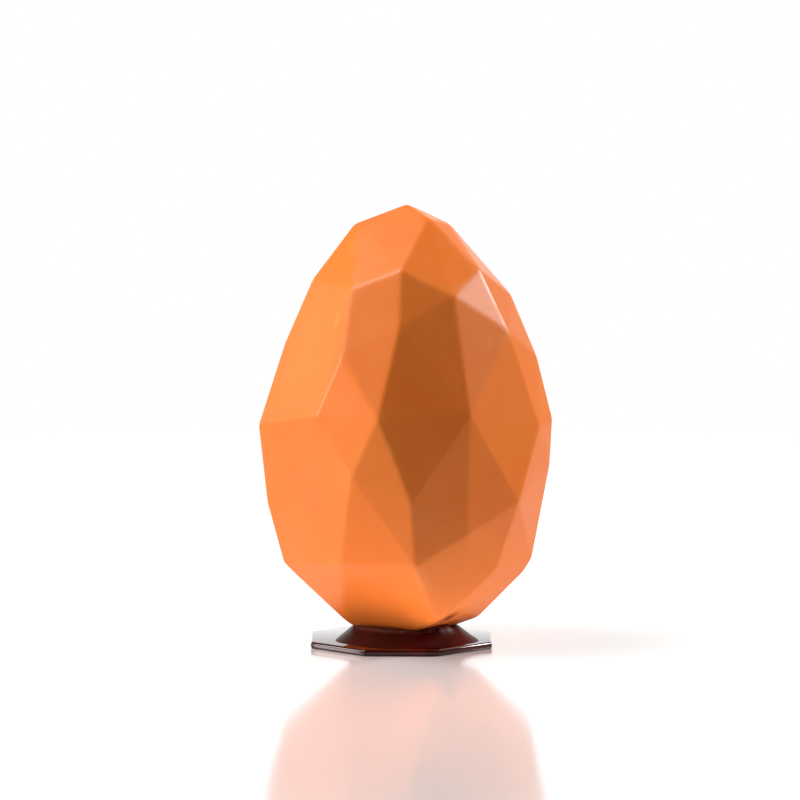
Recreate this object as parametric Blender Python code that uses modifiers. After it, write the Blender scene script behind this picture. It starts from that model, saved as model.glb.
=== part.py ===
"""A faceted egg of orange chocolate, glued from two half shells and stood on a dark foot.

Metres, +Z up.  The egg faces -Y, its two halves meet on the plane Y = 0, and the
origin is on the foot's underside, straight below the egg's apex.
"""

import bmesh
import bpy
from math import cos, pi, radians
from mathutils import Matrix, Vector

MM = 0.001
SEAM = 0.3 * MM                  # clearance between two pieces that are stuck together

# Egg
EGG_TOP = 156.8 * MM             # apex above the table
EGG_TIP = 1.5 * MM               # where the pointed lower end would reach
EGG_BASE = 2.7 * MM              # the lower end is melted flat here, on the plate
EGG_WAIST = 73.0 * MM            # height of the widest level
EGG_HALF_WIDTH = 52.3 * MM
EGG_HALF_DEPTH = 50.7 * MM
ABOVE_WAIST = (1.7, 0.57)        # how the egg narrows above the waist
BELOW_WAIST = (2.5, 0.47)        # and below it
SECTION = 1.9                    # 2 is an ellipse, less is leaner at the sides
RIDGE_ROUND = 0.5 * MM           # the softened ridge between two facets
FAINT_FOLD = radians(4.4)        # a ridge fainter than this is left as it is

# Rim of the half shells, from the apex down: (out from the axis, height), in mm
RIM_LEFT = ((18.0, 150.0), (33.0, 130.0), (43.0, 107.0), (52.3, 78.0),
            (49.3, 50.5), (43.6, 29.0), (38.6, 24.0), (21.7, 8.0), (18.9, 6.0))
RIM_RIGHT = ((15.6, 149.6), (37.5, 124.4), (46.7, 102.4), (52.2, 80.5),
             (51.3, 63.8), (45.0, 30.3), (42.2, 25.8), (26.0, 9.4), (18.0, 6.6))

# Facet corners of a half shell: (across, height, how far it stands proud of the egg), in mm
CORNERS = (
    (8.3, 152.3, 1.6), (26.1, 135.0, 2.6),
    (-19.2, 128.7, 1.7), (-1.2, 135.6, 1.9), (16.9, 126.6, 1.3),
    (-22.2, 106.4, 0.5), (-1.9, 116.7, 0.4), (36.3, 113.2, 0.1),
    (-31.3, 84.7, -3.5), (-9.5, 85.4, 2.6), (22.4, 86.3, -0.2), (47.2, 79.2, -3.2),
    (-18.8, 64.6, -0.6), (1.9, 56.7, 2.4), (21.4, 43.8, -1.4), (39.8, 54.0, -1.9),
    (-22.9, 32.6, -6.9), (3.6, 33.7, 3.1), (32.2, 29.8, -4.6),
    (10.4, 12.0, 2.7), (16.7, 15.0, 0.4), (4.0, 7.7, -4.2),
)

# Foot
PLATE_ACROSS = 64.0 * MM         # across the flats of the octagon
PLATE_THICK = 2.4 * MM
PLATE_CHAMFER = 0.5 * MM
PLATE_ASIDE = -1.4 * MM          # the egg was glued a little to the right of its middle
COLLAR_STEPS = 48
# Side of the collar, top down: (radius, height), in mm
COLLAR_SIDE = ((17.8, 6.9), (18.8, 6.3), (20.0, 5.2), (21.8, 4.0), (23.8, 3.3), (25.6, 2.7))

ORANGE = (0.92, 0.25, 0.045)
DARK_CHOCOLATE = (0.035, 0.006, 0.005)


def clear_scene():
    for old in list(bpy.data.objects):
        bpy.data.objects.remove(old, do_unlink=True)


def new_collection(name):
    made = bpy.data.collections.new(name)
    bpy.context.scene.collection.children.link(made)
    return made


def new_material(name, colour, roughness):
    made = bpy.data.materials.new(name)
    made.use_nodes = True
    surface = made.node_tree.nodes["Principled BSDF"]
    surface.inputs["Base Color"].default_value = (*colour, 1.0)
    surface.inputs["Roughness"].default_value = roughness
    surface.inputs["Metallic"].default_value = 0.0
    made.diffuse_color = (*colour, 1.0)
    return made


def new_object(name, bm, collection, look=None):
    """Turn a bmesh into a named object in the collection."""
    mesh = bpy.data.meshes.new(name)
    bm.to_mesh(mesh)
    bm.free()
    made = bpy.data.objects.new(name, mesh)
    collection.objects.link(made)
    if look:
        mesh.materials.append(look)
    return made


def half_width(height):
    """Half the egg's width at a height."""
    if height > EGG_WAIST:
        away, (power, root) = (height - EGG_WAIST) / (EGG_TOP - EGG_WAIST), ABOVE_WAIST
    else:
        away, (power, root) = (EGG_WAIST - height) / (EGG_WAIST - EGG_TIP), BELOW_WAIST
    return EGG_HALF_WIDTH * (1.0 - min(away, 1.0) ** power) ** root


def belly(across, height):
    """How far the egg bulges from its parting plane at a spot seen from the front."""
    width = half_width(height)
    share = min(abs(across) / width, 1.0)
    return width * EGG_HALF_DEPTH / EGG_HALF_WIDTH * (1.0 - share ** SECTION) ** (1.0 / SECTION)


def rim_points():
    """The outline that both half shells share, in the parting plane."""
    points = [Vector((0.0, 0.0, EGG_TOP)), Vector((0.0, 0.0, EGG_TIP))]
    points += [Vector((-out * MM, 0.0, height * MM)) for out, height in RIM_LEFT]
    points += [Vector((out * MM, 0.0, height * MM)) for out, height in RIM_RIGHT]
    return points


def corner_points():
    """The facet corners of the front half."""
    points = []
    for across, height, proud in CORNERS:
        depth = belly(across * MM, height * MM) + proud * MM
        points.append(Vector((across * MM, -depth, height * MM)))
    return points


def convex_solid(points):
    """The convex solid on these corners, in triangles."""
    bm = bmesh.new()
    for point in points:
        bm.verts.new(point)
    bmesh.ops.convex_hull(bm, input=bm.verts)
    return bm


def cut_off(bm, place, outward):
    """Cut away what lies beyond a plane and close the cut with a flat face."""
    cut = bmesh.ops.bisect_plane(bm, geom=bm.verts[:] + bm.edges[:] + bm.faces[:],
                                 plane_co=place, plane_no=outward, clear_outer=True)
    rim = [item for item in cut["geom_cut"] if isinstance(item, bmesh.types.BMEdge)]
    bmesh.ops.contextual_create(bm, geom=rim)
    bmesh.ops.recalc_face_normals(bm, faces=bm.faces)


def whole_egg():
    """Both halves in one, down to the flat that is melted onto the plate."""
    front = corner_points()
    back = [Vector((point.x, -point.y, point.z)) for point in front]
    bm = convex_solid(rim_points() + front + back)
    cut_off(bm, (0.0, 0.0, EGG_BASE), (0.0, 0.0, -1.0))
    return bm


def on_base(edge):
    return all(vert.co.z < EGG_BASE + 0.01 * MM for vert in edge.verts)


def half_shell(name, side, collection, look):
    """One glued half with softened ridges, on side -1 at the front or 1 at the back."""
    bm = whole_egg()
    ridges = [edge for edge in bm.edges if edge.calc_face_angle() > FAINT_FOLD and not on_base(edge)]
    bmesh.ops.bevel(bm, geom=ridges, offset=RIDGE_ROUND, segments=2, profile=0.5, affect="EDGES")
    cut_off(bm, (0.0, -SEAM / 2, 0.0), (0.0, 1.0, 0.0))
    bmesh.ops.scale(bm, vec=(1.0, -side, 1.0), verts=bm.verts)
    bmesh.ops.recalc_face_normals(bm, faces=bm.faces)
    return new_object(name, bm, collection, look)


def foot_plate(collection, look):
    """The moulded octagonal plate, with a flat of the octagon to the front."""
    bm = bmesh.new()
    radius = PLATE_ACROSS / 2 / cos(pi / 8)
    bmesh.ops.create_cone(bm, cap_ends=True, segments=8, radius1=radius, radius2=radius,
                          depth=PLATE_THICK, matrix=Matrix.Rotation(pi / 8, 4, "Z"))
    plate = new_object("foot_plate", bm, collection, look)
    plate.location = (PLATE_ASIDE, 0.0, PLATE_THICK / 2)
    edge = plate.modifiers.new("Edges", "BEVEL")
    edge.limit_method = "ANGLE"
    edge.angle_limit = radians(60)
    edge.width = PLATE_CHAMFER
    edge.segments = 1
    return plate


def egg_cutter(cutters):
    """The whole egg swollen by the clearance, to press its seat into the collar."""
    bm = whole_egg()
    swell = 1.0 + 1.6 * SEAM / EGG_HALF_DEPTH
    bmesh.ops.scale(bm, vec=(swell, swell, swell), verts=bm.verts,
                    space=Matrix.Translation((0.0, 0.0, -EGG_WAIST)))
    cutter = new_object("egg_cutter", bm, cutters)
    cutter.hide_render = True
    cutter.display_type = "WIRE"
    return cutter


def collar(collection, cutters, look):
    """The ring of melted chocolate that grips the egg's lower end."""
    bm = bmesh.new()
    corners = [bm.verts.new((radius * MM, 0.0, height * MM)) for radius, height in COLLAR_SIDE]
    corners.insert(0, bm.verts.new((0.0, 0.0, COLLAR_SIDE[0][1] * MM)))
    corners.append(bm.verts.new((0.0, 0.0, COLLAR_SIDE[-1][1] * MM)))
    for upper, lower in zip(corners, corners[1:]):
        bm.edges.new((upper, lower))
    ring = new_object("collar", bm, collection, look)
    turn = ring.modifiers.new("Turn", "SCREW")
    turn.axis = "Z"
    turn.angle = 2 * pi
    turn.steps = COLLAR_STEPS
    turn.render_steps = COLLAR_STEPS
    turn.use_merge_vertices = True
    turn.merge_threshold = 0.0001
    seat = ring.modifiers.new("Seat", "BOOLEAN")
    seat.operation = "DIFFERENCE"
    seat.solver = "EXACT"
    seat.object = egg_cutter(cutters)
    return ring


def main():
    clear_scene()
    egg = new_collection("faceted_chocolate_egg")
    cutters = new_collection("cutters")
    orange = new_material("orange_chocolate", ORANGE, 0.35)
    dark = new_material("dark_chocolate", DARK_CHOCOLATE, 0.15)
    half_shell("shell_front", -1, egg, orange)
    half_shell("shell_back", 1, egg, orange)
    foot_plate(egg, dark)
    collar(egg, cutters, dark)


main()
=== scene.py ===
"""A faceted egg of orange chocolate on its dark foot, dressed for a studio picture.

Metres, +Z up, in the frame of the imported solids.  The egg faces -Y, and its two
halves meet on the plane Y = 0.
"""

from math import cos, exp, pi, radians, sin

import bmesh
import bpy
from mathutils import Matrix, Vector, noise


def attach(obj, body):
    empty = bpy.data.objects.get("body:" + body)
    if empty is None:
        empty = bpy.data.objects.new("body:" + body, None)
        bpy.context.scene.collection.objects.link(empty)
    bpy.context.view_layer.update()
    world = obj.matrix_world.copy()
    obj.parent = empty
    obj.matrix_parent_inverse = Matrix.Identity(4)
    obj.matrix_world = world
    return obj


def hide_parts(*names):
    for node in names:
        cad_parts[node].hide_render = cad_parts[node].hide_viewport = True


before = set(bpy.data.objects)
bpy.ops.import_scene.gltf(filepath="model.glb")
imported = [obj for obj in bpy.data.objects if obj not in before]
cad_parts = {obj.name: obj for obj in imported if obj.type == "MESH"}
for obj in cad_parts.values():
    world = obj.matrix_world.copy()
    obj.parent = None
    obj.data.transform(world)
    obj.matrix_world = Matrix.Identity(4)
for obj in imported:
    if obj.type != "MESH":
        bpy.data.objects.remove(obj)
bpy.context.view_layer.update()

# The foot is an octagonal plate of dark chocolate, cast flat in a polished mould.
# It came out glossy, with a narrow bevel round its rim, and its flat back lies on the table.
MM = 0.001
SAME_PLACE = 0.002 * MM          # vertices nearer than this are one
FLAT = radians(0.5)              # faces closer than this to one plane are one face
RIM_ROUND = 0.22 * MM            # how far the plate's edges are softened
MOULDED_DARK = ((0.024, 0.0006, 0.0012), (0.060, 0.0018, 0.0028))
MOULDED_GLOSS = 1.15
# Noise in dark chocolate: lumps per metre, then detail
DARK_CLOUD = (60.0, 3.0)
DARK_GRAIN = (900.0, 2.0)
DARK_WAVE = (110.0, 1.0)
DARK_CLOUD_EDGES = (0.35, 0.75)  # the noise values where one red gives way to the other
DARK_GRAIN_SHARE = 0.04          # how much of the relief is grain
DARK_ROUGHNESS = 0.08            # at full gloss, where the cloud is clear
DARK_DULLING = 0.35              # what a gloss of 0 adds to it
DARK_CLOUD_DULLING = 0.10
DARK_BUMP = 0.2
BUMP_HEIGHT = 0.1 * MM
DARK_IOR = (1.2, 0.3)            # without gloss, and what a gloss of 1 adds


def merged_copy(node):
    """A node's mesh with its loose triangles joined up."""
    bm = bmesh.new()
    bm.from_mesh(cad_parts[node].data)
    bmesh.ops.remove_doubles(bm, verts=bm.verts, dist=SAME_PLACE)
    return bm


def new_piece(name, bm):
    """A bmesh made into an object that stands in the scene."""
    mesh = bpy.data.meshes.new(name)
    bm.to_mesh(mesh)
    bm.free()
    piece = bpy.data.objects.new(name, mesh)
    bpy.context.scene.collection.objects.link(piece)
    return piece


class Value:
    """A node's output, on which Python's operators add Math nodes."""

    def __init__(self, nodes, socket):
        self.nodes = nodes
        self.socket = socket

    def maths(self, operation, *operands):
        settings = {"operation": operation}
        return self.nodes.add("ShaderNodeMath", settings, dict(enumerate(operands)))

    def __add__(self, other):
        return self.maths("ADD", self, other)

    def __sub__(self, other):
        return self.maths("SUBTRACT", self, other)

    def __rsub__(self, other):
        return self.maths("SUBTRACT", other, self)

    def __mul__(self, other):
        return self.maths("MULTIPLY", self, other)

    def __truediv__(self, other):
        return self.maths("DIVIDE", self, other)

    __radd__ = __add__

    def step(self, low, high):
        """0 below low and 1 above high, with a smooth rise between."""
        settings = {"interpolation_type": "SMOOTHSTEP"}
        inputs = {"Value": self, "From Min": low, "From Max": high}
        return self.nodes.add("ShaderNodeMapRange", settings, inputs)


class Nodes:
    """Adds nodes to one tree and links them."""

    def __init__(self, tree):
        self.tree = tree

    def add(self, kind, settings=None, inputs=None, output=0):
        """Add a node, make its settings, then fill its inputs with values or links."""
        node = self.tree.nodes.new(kind)
        for setting, value in (settings or {}).items():
            setattr(node, setting, value)
        for socket, value in (inputs or {}).items():
            if isinstance(value, Value):
                self.tree.links.new(value.socket, node.inputs[socket])
            else:
                node.inputs[socket].default_value = value
        return Value(self, node.outputs[output])

    def noise(self, place, scale, detail=2.0, roughness=0.5):
        """Noise from 0 to 1, with lumps about 1 / scale across."""
        inputs = {"Vector": place, "Scale": scale, "Detail": detail, "Roughness": roughness}
        return self.add("ShaderNodeTexNoise", None, inputs)

    def mix(self, share, first, second):
        """The first colour, and the second where share is 1."""
        settings = {"data_type": "RGBA"}
        return self.add("ShaderNodeMix", settings, {0: share, 6: first, 7: second}, output=2)

    def axis(self, place, letter):
        """How far a place lies along the axis X, Y or Z."""
        return self.add("ShaderNodeSeparateXYZ", None, {"Vector": place}, output=letter)

    def vector_maths(self, operation, inputs, output=0):
        """A Vector Math node; a length or distance comes out at Value."""
        return self.add("ShaderNodeVectorMath", {"operation": operation}, inputs, output)

    def bump(self, height, strength, distance):
        inputs = {"Height": height, "Strength": strength, "Distance": distance}
        return self.add("ShaderNodeBump", None, inputs)


def chocolate(name):
    """A new material, its nodes, its surface node and its place on the object."""
    material = bpy.data.materials.new(name)
    material.use_nodes = True
    nodes = Nodes(material.node_tree)
    surface = material.node_tree.nodes["Principled BSDF"]
    place = nodes.add("ShaderNodeTexCoord", output=3)
    return material, nodes, surface, place


def feed(nodes, surface, **sockets):
    """Link values to the surface's sockets, named with _ for a space."""
    for socket, value in sockets.items():
        nodes.tree.links.new(value.socket, surface.inputs[socket.replace("_", " ")])


def opaque(colour):
    """The colour with an alpha of 1."""
    return (*colour, 1.0)


def dark_chocolate(name, colours, gloss):
    """Dark chocolate, clouded with two reds and faintly wavy; gloss is over 1 if moulded."""
    material, nodes, surface, place = chocolate(name)
    cloud = nodes.noise(place, *DARK_CLOUD)
    grain = nodes.noise(place, *DARK_GRAIN)
    wave = nodes.noise(place, *DARK_WAVE)
    tint = nodes.mix(cloud.step(*DARK_CLOUD_EDGES), opaque(colours[0]), opaque(colours[1]))
    height = wave + grain * DARK_GRAIN_SHARE
    rough = (1.0 - gloss) * DARK_DULLING + DARK_ROUGHNESS + cloud * DARK_CLOUD_DULLING
    feed(nodes, surface, Base_Color=tint, Roughness=rough,
         Normal=nodes.bump(height, DARK_BUMP, BUMP_HEIGHT))
    surface.inputs["IOR"].default_value = DARK_IOR[0] + DARK_IOR[1] * gloss
    return material, nodes, surface, place, tint


dark_look = dark_chocolate("moulded_dark_chocolate", MOULDED_DARK, MOULDED_GLOSS)[0]
bm = merged_copy("foot_plate")
bmesh.ops.dissolve_limit(bm, angle_limit=FLAT, verts=bm.verts, edges=bm.edges)
bmesh.ops.bevel(bm, geom=bm.edges[:], offset=RIM_ROUND, segments=3, profile=0.5, affect="EDGES")
plate = new_piece("foot_moulding", bm)
plate.data.shade_smooth()
plate.data.set_sharp_from_angle(angle=radians(25))
plate.data.materials.append(dark_look)
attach(plate, "root")
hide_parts("foot_plate")

# Each half of the egg is a shell of orange chocolate from the same polished mould.
# Its facets are flat to the eye and meet in softened ridges, scuffed pale where hands and
# the other half have rubbed them; the paleness along the ridges is also a painted highlight.
# A fine line shows where the two rims are stuck together.
BALL_STEPS = 8                   # an icosphere of this many subdivisions is the skin's net
CENTRE_HEIGHT = 73.0 * MM
SOFTENING = 2                    # how often each vertex is averaged with its neighbours
RIDGE_REACH = 24                 # and how often to find out what lies near a ridge
RIDGE_DEPTH = 0.25 * MM          # averaging moves a sharp ridge by about this much
UNEVEN = 0.05 * MM               # the facets' gentle unevenness
UNEVEN_SCALE = 70.0              # its lumps per metre
UNEVEN_SINK = 0.62               # above the noise's middle, so the skin sinks a little
SEAM_GROOVE = 0.15 * MM          # how deep the line between the stuck rims is
CENTRE_ASIDE = 0.2 * MM          # each half is cast outward from a little inside itself
RIM_EDGES = (0.00001, 0.0001)    # a vertex of the unit ball nearer Y = 0 is on the rim
ORANGE = (0.93, 0.228, 0.036)
DEEP_ORANGE = (0.91, 0.204, 0.030)
PALE_ORANGE = (0.97, 0.40, 0.13)
# Noise in orange chocolate: lumps per metre, detail, roughness
ORANGE_CLOUD = (28.0, 3.0, 0.6)
ORANGE_MOTTLE = (260.0, 3.0, 0.6)
ORANGE_GRAIN = (2200.0, 2.0)
ORANGE_PATCH = (55.0, 4.0, 0.7)
# Where a noise, or the ridges' nearness, starts to show and where it shows in full
CLOUD_EDGES = (0.3, 0.7)
RUBBED_AND_HIGHLIT_RIDGE = (0.25, 0.9)
RUBBED_AND_HIGHLIT_PATCH = (0.5, 0.7)
MARK_MOTTLE = (0.35, 0.6)
PALE_MOTTLE = (0.55, 0.8)
FRONT_EDGES = (-20.0 * MM, 0.0)
# How pale the rubbed ridges (their paleness partly a painted highlight), the mottling and the rub
# marks are
RIDGE_PALE_AND_HIGHLIGHT, MOTTLE_PALE, MARK_PALE = 0.18, 0.04, 0.35
# Roughness of the plain chocolate, and what mottling and rubbing add
SATIN, MOTTLE_DULLING, RUB_DULLING = 0.29, 0.08, 0.12
ORANGE_IOR = 1.30
ORANGE_BUMP = 0.12
ORANGE_GRAIN_SHARE = 0.25
# Rub marks on the front: (across, height, lean in degrees, length, width), in mm
SCUFFS = ((29.3, 109.6, 15.0, 6.0, 0.9), (33.6, 107.0, -25.0, 8.5, 0.8),
          (24.5, 22.0, -55.0, 5.0, 1.2), (-24.0, 118.0, 8.0, 12.0, 1.5),
          (18.0, 96.0, 5.0, 9.0, 0.7))
SCUFF_EDGES = (0.2, 1.0)         # a mark fades out between these shares of its size, squared
SMEAR = (0.22, 0.012, 0.006)     # where melted dark chocolate touched the shell
SMEAR_SPOT = (15.2 * MM, -25.6 * MM, 12.0 * MM)
SMEAR_EDGES = (3.5 * MM, 8.0 * MM)
SMEAR_RAGGED = 5.0 * MM          # how far the mottling shifts its edge
SMEAR_STRENGTH = 0.85


def half_ball(side):
    """Half a unit ball of small triangles, flat on Y = 0, on side -1 at the front or 1 behind."""
    bm = bmesh.new()
    bmesh.ops.create_icosphere(bm, subdivisions=BALL_STEPS, radius=1.0)
    cut = bmesh.ops.bisect_plane(bm, geom=bm.verts[:] + bm.edges[:] + bm.faces[:], dist=1e-6,
                                 plane_co=(0.0, 0.0, 0.0), plane_no=(0.0, -side, 0.0),
                                 clear_outer=True)
    rim = [item for item in cut["geom_cut"] if isinstance(item, bmesh.types.BMEdge)]
    bmesh.ops.contextual_create(bm, geom=rim)
    bmesh.ops.recalc_face_normals(bm, faces=bm.faces)
    return bm


def socket_of(tree, name, kind, value):
    """Add a named input to a node group."""
    made = tree.interface.new_socket(name, in_out="INPUT", socket_type=kind)
    if value is not None:
        made.default_value = value
    return made.identifier


def moulding_tree():
    """Geometry nodes that press a ball into a faceted mould and soften the ridges."""
    tree = bpy.data.node_groups.new("pressed_in_mould", "GeometryNodeTree")
    keys = {name: socket_of(tree, name, kind, value) for name, kind, value in (
        ("Skin", "NodeSocketGeometry", None), ("Mould", "NodeSocketObject", None),
        ("Centre", "NodeSocketVector", (0.0, 0.0, CENTRE_HEIGHT)),
        ("Softening", "NodeSocketInt", SOFTENING), ("Ridge Reach", "NodeSocketInt", RIDGE_REACH),
        ("Uneven", "NodeSocketFloat", UNEVEN), ("Seam Groove", "NodeSocketFloat", SEAM_GROOVE),
        ("Look", "NodeSocketMaterial", None))}
    tree.interface.new_socket("Shell", in_out="OUTPUT", socket_type="NodeSocketGeometry")
    nodes = Nodes(tree)
    entry = tree.nodes.new("NodeGroupInput")
    given = {name: Value(nodes, entry.outputs[name]) for name in keys}

    spot = nodes.add("GeometryNodeInputPosition")
    outward = nodes.vector_maths("NORMALIZE", {0: spot})
    mould = nodes.add("GeometryNodeObjectInfo", None, {"Object": given["Mould"]},
                      output="Geometry")
    sideways = nodes.axis(spot, "Y")
    on_points = {"data_type": "FLOAT", "domain": "POINT"}
    marked = nodes.add("GeometryNodeStoreNamedAttribute", on_points, {
        "Geometry": given["Skin"], "Name": "rim",
        "Value": 1.0 - sideways.maths("ABSOLUTE", sideways).step(*RIM_EDGES)})
    wall = nodes.add("GeometryNodeRaycast", None, {
        "Target Geometry": mould, "Source Position": given["Centre"],
        "Ray Direction": outward, "Ray Length": 1.0}, output="Hit Position")
    pressed = nodes.add("GeometryNodeSetPosition", None, {"Geometry": marked, "Position": wall})

    blur = {"data_type": "FLOAT_VECTOR"}
    wide = nodes.add("GeometryNodeBlurAttribute", blur, {
        "Value": spot, "Iterations": given["Ridge Reach"]})
    moved = nodes.vector_maths("DISTANCE", {0: spot, 1: wide}, output="Value")
    ridged = nodes.add("GeometryNodeStoreNamedAttribute", on_points, {
        "Geometry": pressed, "Name": "ridge", "Value": moved / RIDGE_DEPTH})

    near = nodes.add("GeometryNodeBlurAttribute", blur, {
        "Value": spot, "Iterations": given["Softening"]})
    soft = nodes.add("GeometryNodeSetPosition", None, {"Geometry": ridged, "Position": near})

    swell = nodes.add("ShaderNodeTexNoise", None, {
        "Vector": spot, "Scale": UNEVEN_SCALE, "Detail": 1.0})
    facing = nodes.add("GeometryNodeInputNormal")
    push = nodes.vector_maths("SCALE", {
        0: facing, "Scale": (swell - UNEVEN_SINK) * given["Uneven"]})
    uneven = nodes.add("GeometryNodeSetPosition", None, {"Geometry": soft, "Offset": push})

    rim = nodes.add("GeometryNodeInputNamedAttribute", {"data_type": "FLOAT"}, {"Name": "rim"},
                    output="Attribute")
    inward = nodes.vector_maths("SCALE", {0: facing, "Scale": rim * given["Seam Groove"] * -1.0})
    grooved = nodes.add("GeometryNodeSetPosition", None, {"Geometry": uneven, "Offset": inward})
    across = nodes.vector_maths("MULTIPLY", {0: spot, 1: (0.0, -1.0, 0.0)})
    to_seam = nodes.vector_maths("SCALE", {0: across, "Scale": rim})
    stuck = nodes.add("GeometryNodeSetPosition", None, {"Geometry": grooved, "Offset": to_seam})

    smooth = nodes.add("GeometryNodeSetShadeSmooth", None, {"Geometry": stuck})
    real = nodes.add("GeometryNodeRealizeInstances", None, {"Geometry": smooth})
    looked = nodes.add("GeometryNodeSetMaterial", None, {
        "Geometry": real, "Material": given["Look"]})
    leave = tree.nodes.new("NodeGroupOutput")
    tree.links.new(looked.socket, leave.inputs["Shell"])
    return tree, keys


def shaped_by(piece, tree, keys, settings):
    """Run a tree on a piece and keep the result as its plain mesh."""
    shaping = piece.modifiers.new("Shaping", "NODES")
    shaping.node_group = tree
    for name, value in settings.items():
        shaping[keys[name]] = value
    bpy.context.view_layer.update()
    graph = bpy.context.evaluated_depsgraph_get()
    mesh = bpy.data.meshes.new_from_object(piece.evaluated_get(graph))
    piece.modifiers.clear()
    piece.data = mesh
    mesh.name = piece.name


def scuff(nodes, place, spot):
    """1 along a short rub mark on the front: its middle, lean in degrees, length and width."""
    across, height, lean, length, width = spot
    turn = radians(lean)
    x = nodes.axis(place, "X") - across * MM
    z = nodes.axis(place, "Z") - height * MM
    along = (x * sin(turn) + z * cos(turn)) / (0.5 * length * MM)
    aside = (x * cos(turn) - z * sin(turn)) / (0.5 * width * MM)
    return 1.0 - (along * along + aside * aside).step(*SCUFF_EDGES)


def orange_chocolate():
    """Satin chocolate with coloured cocoa butter, faintly clouded, and rubbed here and there,
    with a painted highlight along the rubbed ridges.
    """
    material, nodes, surface, place = chocolate("satin_orange_chocolate")
    ridge = nodes.add("ShaderNodeAttribute", {"attribute_name": "ridge"}, output="Fac")
    cloud = nodes.noise(place, *ORANGE_CLOUD)
    mottle = nodes.noise(place, *ORANGE_MOTTLE)
    grain = nodes.noise(place, *ORANGE_GRAIN)
    patch = nodes.noise(place, *ORANGE_PATCH)
    # Pale along the ridges: partly rubbed wear, partly a painted highlight.
    rubbed_and_highlit = ridge.step(*RUBBED_AND_HIGHLIT_RIDGE) * patch.step(*RUBBED_AND_HIGHLIT_PATCH)
    body = nodes.mix(cloud.step(*CLOUD_EDGES), opaque(DEEP_ORANGE), opaque(ORANGE))
    front = 1.0 - nodes.axis(place, "Y").step(*FRONT_EDGES)
    marks = sum(scuff(nodes, place, spot) for spot in SCUFFS) * front * mottle.step(*MARK_MOTTLE)
    pale = rubbed_and_highlit * RIDGE_PALE_AND_HIGHLIGHT + mottle.step(*PALE_MOTTLE) * MOTTLE_PALE + marks * MARK_PALE
    worn_and_highlit = nodes.mix(pale, body, opaque(PALE_ORANGE))
    spot = nodes.vector_maths("DISTANCE", {0: place, 1: SMEAR_SPOT}, output="Value")
    smear = (1.0 - (spot + mottle * SMEAR_RAGGED).step(*SMEAR_EDGES)) * SMEAR_STRENGTH
    tint = nodes.mix(smear, worn_and_highlit, opaque(SMEAR))
    height = mottle + grain * ORANGE_GRAIN_SHARE
    rough = SATIN + mottle * MOTTLE_DULLING + rubbed_and_highlit * RUB_DULLING
    feed(nodes, surface, Base_Color=tint, Roughness=rough,
         Normal=nodes.bump(height, ORANGE_BUMP, BUMP_HEIGHT))
    surface.inputs["IOR"].default_value = ORANGE_IOR
    return material


orange_look = orange_chocolate()
moulding, moulding_keys = moulding_tree()
for side, node in ((-1, "shell_front"), (1, "shell_back")):
    mould = new_piece(node + "_mould", merged_copy(node))
    shell = new_piece(node + "_moulding", half_ball(side))
    middle = side * CENTRE_ASIDE
    shaped_by(shell, moulding, moulding_keys, {
        "Mould": mould, "Centre": (0.0, middle, CENTRE_HEIGHT), "Look": orange_look})
    bpy.data.objects.remove(mould)
    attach(shell, "root")
    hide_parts(node)

# The egg is glued to its foot with melted dark chocolate, spooned on and pressed down.
# It set in a cone that runs out in a few tongues over the plate, and climbs the shell in
# lumps; its upper lip carries a painted highlight, and the lumps are orange here and there,
# partly a stain and partly a painted reflection of the orange shell.
RING_TURNS = 288
RING_RISE = 36
# Side of the ring, top down: (radius, height), in mm
RING_SIDE = ((9.0, 6.4), (14.0, 6.8), (17.0, 7.0), (17.9, 6.7), (18.8, 5.9), (19.9, 4.7),
             (21.1, 3.5), (22.3, 2.42))
RING_UNEVEN = 0.30 * MM
RUN_START = 0.35                 # the share of the way down where the runs begin
LUMP_REACH = 0.13                # how far a lump reaches up and down, as a share of the side
# Where it ran out furthest on the plate: (bearing in degrees from the front, run in mm,
# spread in degrees)
RUNS = ((0.0, 5.6, 40.0), (58.0, 5.8, 27.0), (-56.0, 4.8, 27.0), (175.0, 4.0, 60.0))
# Lumps that were squeezed out: (bearing, how far down the side, swell and climb in mm,
# spread in degrees)
LUMPS = ((26.0, 0.42, 0.9, 1.1, 5.0), (36.0, 0.40, 1.1, 2.1, 5.5), (48.0, 0.42, 0.8, 2.4, 8.0),
         (14.0, 0.55, 0.3, 0.1, 8.0), (-32.0, 0.50, 0.4, 0.2, 10.0), (150.0, 0.42, 0.9, 0.9, 9.0),
         (-140.0, 0.45, 0.6, 0.6, 12.0))
MELTED_DARK = ((0.022, 0.0004, 0.0012), (0.070, 0.0010, 0.0016))
ORANGE_STAIN_AND_REFLECTION = (0.42, 0.060, 0.010)
LIP_HIGHLIGHT = (0.17, 0.085, 0.095)     # a painted highlight along its upper lip
MELTED_GLOSS = 0.1
BLOTCHES = (420.0, 3.0, 0.6)     # noise: lumps per metre, detail, roughness
BLOTCH_SHIFT = 1.6 * MM          # how far the blotches shift the edge of the orange stain and painted reflection
STAIN_AND_REFLECTION_HEIGHT = (8.2 * MM, 9.2 * MM)
STAIN_AND_REFLECTION_BLOTCH = (0.45, 0.6)
STAIN_AND_REFLECTION_STRENGTH = 0.6
LIP_HEIGHT = (6.2 * MM, 6.7 * MM)
LIP_BLOTCH = (0.35, 0.6)
LIP_STRENGTH = 0.5


def hump(turn, bearing, spread):
    """1 at a bearing from the front, falling off to both sides."""
    away = ((turn - radians(bearing) + pi) % (2 * pi) - pi) / radians(spread)
    return exp(-away * away)


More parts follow.
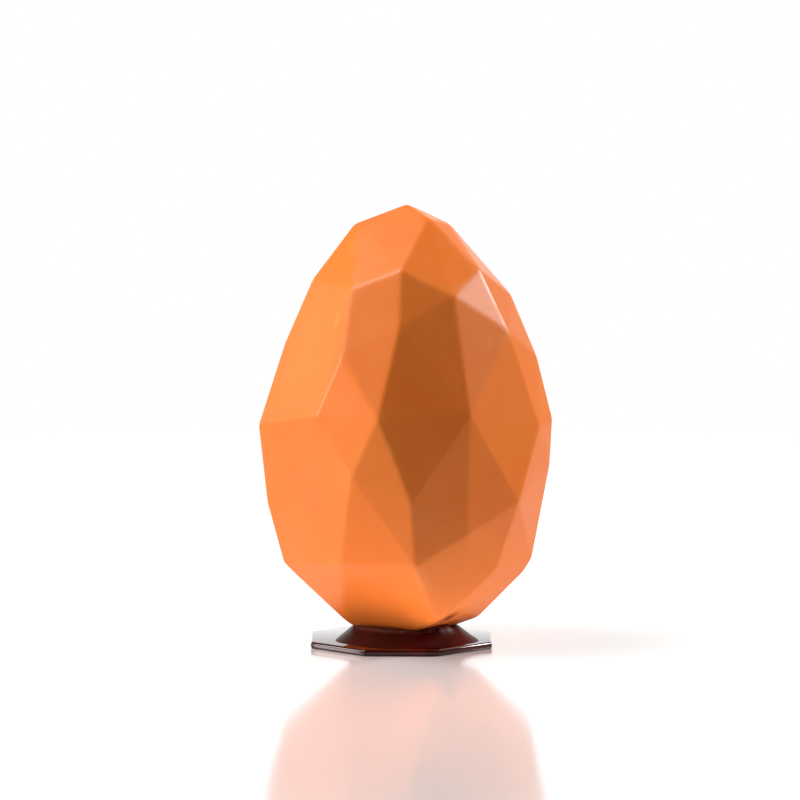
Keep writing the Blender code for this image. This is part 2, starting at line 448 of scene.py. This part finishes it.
def ring_point(turn, along):
    """A spot on the ring, at a bearing from the front and a share of the way down its side."""
    place = along * (len(RING_SIDE) - 1)
    index = min(int(place), len(RING_SIDE) - 2)
    share = place - index
    (radius, height), (next_radius, next_height) = RING_SIDE[index], RING_SIDE[index + 1]
    radius = (radius + (next_radius - radius) * share) * MM
    height = (height + (next_height - height) * share) * MM
    around = Vector((sin(turn), -cos(turn), 0.0))
    finer = around * 6.0 + Vector((0.0, 0.0, along * 3.0))
    drift = noise.noise(around * 2.2) + 0.5 * noise.noise(finer)
    radius += RING_UNEVEN * drift * (0.4 + along)
    for bearing, run, spread in RUNS:
        reach = max(along - RUN_START, 0.0) / (1.0 - RUN_START)
        radius += run * MM * hump(turn, bearing, spread) * reach
    for bearing, down, swell, climb, spread in LUMPS:
        bulge = hump(turn, bearing, spread) * exp(-((along - down) / LUMP_REACH) ** 2)
        radius += swell * MM * bulge
        height += climb * MM * bulge
    return around * radius + Vector((0.0, 0.0, height))


def melted_chocolate():
    """Duller dark chocolate, with a painted highlight along its upper lip, and orange where lumps
    of it climbed the shell: partly a stain, partly a painted reflection of the shell.
    """
    material, nodes, surface, place, tint = dark_chocolate(
        "melted_dark_chocolate", MELTED_DARK, MELTED_GLOSS)
    height = nodes.axis(place, "Z")
    blotch = nodes.noise(place, *BLOTCHES)
    # Orange high on the lumps: partly a stain, partly a painted reflection of the orange shell.
    stain_and_reflection = ((height + blotch * BLOTCH_SHIFT).step(*STAIN_AND_REFLECTION_HEIGHT)
               * blotch.step(*STAIN_AND_REFLECTION_BLOTCH) * STAIN_AND_REFLECTION_STRENGTH)
    # A painted highlight, paler, along the ring's upper lip.
    lip = (height.step(*LIP_HEIGHT) * (1.0 - stain_and_reflection)
           * blotch.step(*LIP_BLOTCH) * LIP_STRENGTH)
    lipped = nodes.mix(lip, tint, opaque(LIP_HIGHLIGHT))
    feed(nodes, surface, Base_Color=nodes.mix(stain_and_reflection, lipped, opaque(ORANGE_STAIN_AND_REFLECTION)))
    return material


bm = bmesh.new()
turns = [2 * pi * step / RING_TURNS for step in range(RING_TURNS)]
levels = [[bm.verts.new(ring_point(turn, level / RING_RISE)) for turn in turns]
          for level in range(RING_RISE + 1)]
for upper, lower in zip(levels, levels[1:]):
    for here in range(RING_TURNS):
        after = (here + 1) % RING_TURNS
        bm.faces.new((upper[here], lower[here], lower[after], upper[after]))
bm.faces.new(reversed(levels[0]))
bm.faces.new(levels[-1])
side_verts = [vert for level in levels[1:-1] for vert in level]
bmesh.ops.smooth_vert(bm, verts=side_verts, factor=0.5,
                      use_axis_x=True, use_axis_y=True, use_axis_z=True)
bmesh.ops.recalc_face_normals(bm, faces=bm.faces)
ring = new_piece("melted_ring", bm)
ring.data.shade_smooth()
ring.data.set_sharp_from_angle(angle=radians(50))
ring.data.materials.append(melted_chocolate())
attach(ring, "root")
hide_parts("collar")

# A plain pale table for the egg to stand on, glossy enough to mirror the foot.  It fades
# into the pale room all round, so no edge shows from any side.
FLOOR_RADIUS = 0.75
FLOOR_FADE = 0.25                # it starts to fade this far out
FLOOR_COLOUR = (0.70, 0.70, 0.70)
FLOOR_ROUGHNESS = 0.12


def floor_look():
    """A pale gloss that fades out towards the table's edge."""
    material = bpy.data.materials.new("pale_table")
    material.use_nodes = True
    nodes = Nodes(material.node_tree)
    surface = material.node_tree.nodes["Principled BSDF"]
    surface.inputs["Base Color"].default_value = opaque(FLOOR_COLOUR)
    surface.inputs["Roughness"].default_value = FLOOR_ROUGHNESS
    place = nodes.add("ShaderNodeTexCoord", output=3)
    away = nodes.vector_maths("LENGTH", {0: place}, output="Value")
    feed(nodes, surface, Alpha=1.0 - away.step(FLOOR_FADE, FLOOR_RADIUS))
    return material


bm = bmesh.new()
bmesh.ops.create_circle(bm, cap_ends=True, segments=96, radius=FLOOR_RADIUS)
floor = new_piece("table_top", bm)
floor.data.materials.append(floor_look())

# Studio light: soft boxes at the left, from table height to overhead, a weak one at the
# right, and a small strong one behind at the right that glints on one facet.  The camera's
# side stays dim, so the facets that face it are deep; the room is white behind the egg.
EGG_MIDDLE = Vector((0.0, 0.0, 0.080))
ROOM_BEHIND = 1.45
ROOM_AROUND = 0.02
ROOM_EDGES = (0.80, 0.97)        # how squarely behind a way points where the white starts
WHITE = (1.0, 1.0, 1.0, 1.0)
# Soft boxes: name, place, size across, power in watts
SOFT_BOXES = (
    ("left", (-1.47, 0.0, 0.39), 0.50, 11.2),
    ("left_front", (-1.02, -0.59, 1.00), 0.60, 7.0),
    ("left_top", (-0.70, 0.0, 1.40), 0.60, 15.0),
    ("left_back", (-1.25, 0.80, 0.35), 0.60, 1.0),
    ("right", (1.47, 0.0, 0.39), 0.50, 0.4),
    ("glint", (1.24, 0.45, 0.80), 0.35, 22.0),
)
# A faint round light lies on the table under the egg's lower end, and shines up
UP_LIGHT = ("up", (0.0, 0.0, 0.6 * MM), 0.13, 0.046)


def soft_box(name, place, across, power, shape="SQUARE"):
    """An area light that faces the egg's middle and that the camera doesn't see."""
    light = bpy.data.lights.new(name + "_soft_box", "AREA")
    light.shape = shape
    light.size = across
    light.energy = power
    box = bpy.data.objects.new(name + "_soft_box", light)
    box.location = place
    box.rotation_euler = (EGG_MIDDLE - Vector(place)).to_track_quat("-Z", "Y").to_euler()
    box.visible_camera = False
    bpy.context.scene.collection.objects.link(box)
    return box


def room():
    """A room that is white straight behind the egg, dim around it, and pale to the eye."""
    world = bpy.data.worlds.new("pale_room")
    world.use_nodes = True
    bpy.context.scene.world = world
    nodes = Nodes(world.node_tree)
    world.node_tree.nodes.clear()
    way = nodes.add("ShaderNodeTexCoord", output="Generated")
    behind = nodes.axis(way, "Y").step(*ROOM_EDGES)
    bright = ROOM_AROUND + behind * (ROOM_BEHIND - ROOM_AROUND)
    lit = nodes.add("ShaderNodeBackground", None, {"Color": WHITE, "Strength": bright})
    seen = nodes.add("ShaderNodeBackground", None, {"Color": WHITE, "Strength": 1.0})
    eye = nodes.add("ShaderNodeLightPath", output="Is Camera Ray")
    both = nodes.add("ShaderNodeMixShader", None, {0: eye, 1: lit, 2: seen})
    leave = world.node_tree.nodes.new("ShaderNodeOutputWorld")
    world.node_tree.links.new(both.socket, leave.inputs["Surface"])


for box in SOFT_BOXES:
    soft_box(*box)
soft_box(*UP_LIGHT, "DISK").visible_glossy = False
room()
bpy.context.scene.view_settings.view_transform = "Standard"

# The camera stands back at the height of a seated eye, looking slightly down.
CAMERA_AIM = Vector((-1.9 * MM, 0.0, 87.0 * MM))
CAMERA_AWAY = 2.0
CAMERA_RAISED = radians(6.0)
FOCAL_LENGTH = 254.0             # in mm
SENSOR_WIDTH = 36.0              # in mm
FURTHEST_SEEN = 30.0

camera = bpy.data.objects.new("camera", bpy.data.cameras.new("camera"))
camera.data.lens = FOCAL_LENGTH
camera.data.sensor_width = SENSOR_WIDTH
camera.data.clip_end = FURTHEST_SEEN
towards_camera = Vector((0.0, -cos(CAMERA_RAISED), sin(CAMERA_RAISED)))
camera.location = CAMERA_AIM + CAMERA_AWAY * towards_camera
camera.rotation_euler = (pi / 2 - CAMERA_RAISED, 0.0, 0.0)
bpy.context.scene.collection.objects.link(camera)
bpy.context.scene.camera = camera
